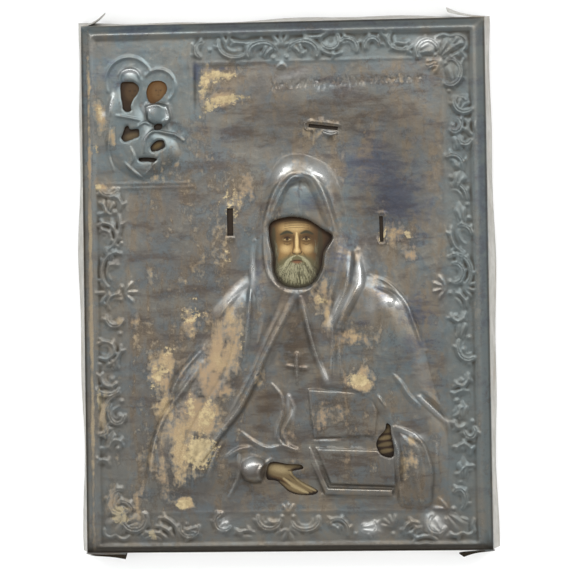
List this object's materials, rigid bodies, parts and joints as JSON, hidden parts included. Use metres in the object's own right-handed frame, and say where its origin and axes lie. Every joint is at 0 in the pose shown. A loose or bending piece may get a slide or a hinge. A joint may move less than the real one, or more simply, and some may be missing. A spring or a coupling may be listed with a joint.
{
  "type": "icon panel with chased metal cover",
  "caption": "Small painted wooden devotional panel under a chased sheet-metal cover with scroll border, draped half figure and cut-outs for face and hands.",
  "frame": {"origin": "middle of the board's flat back, under the centre of the panel's outline", "axes": "+Z out of the picture's front, +Y towards the top of the picture, +X towards its right"},
  "size_m": [0.18, 0.2356, 0.0263],
  "materials": {
    "painted_board": "aged wood with a painted front",
    "metal_cover": "tarnished silvered sheet, worn to yellow in places"
  },
  "bodies": {
    "root": {"painted_board": "painted_board", "metal_cover": "metal_cover"}
  },
  "joints": []
}
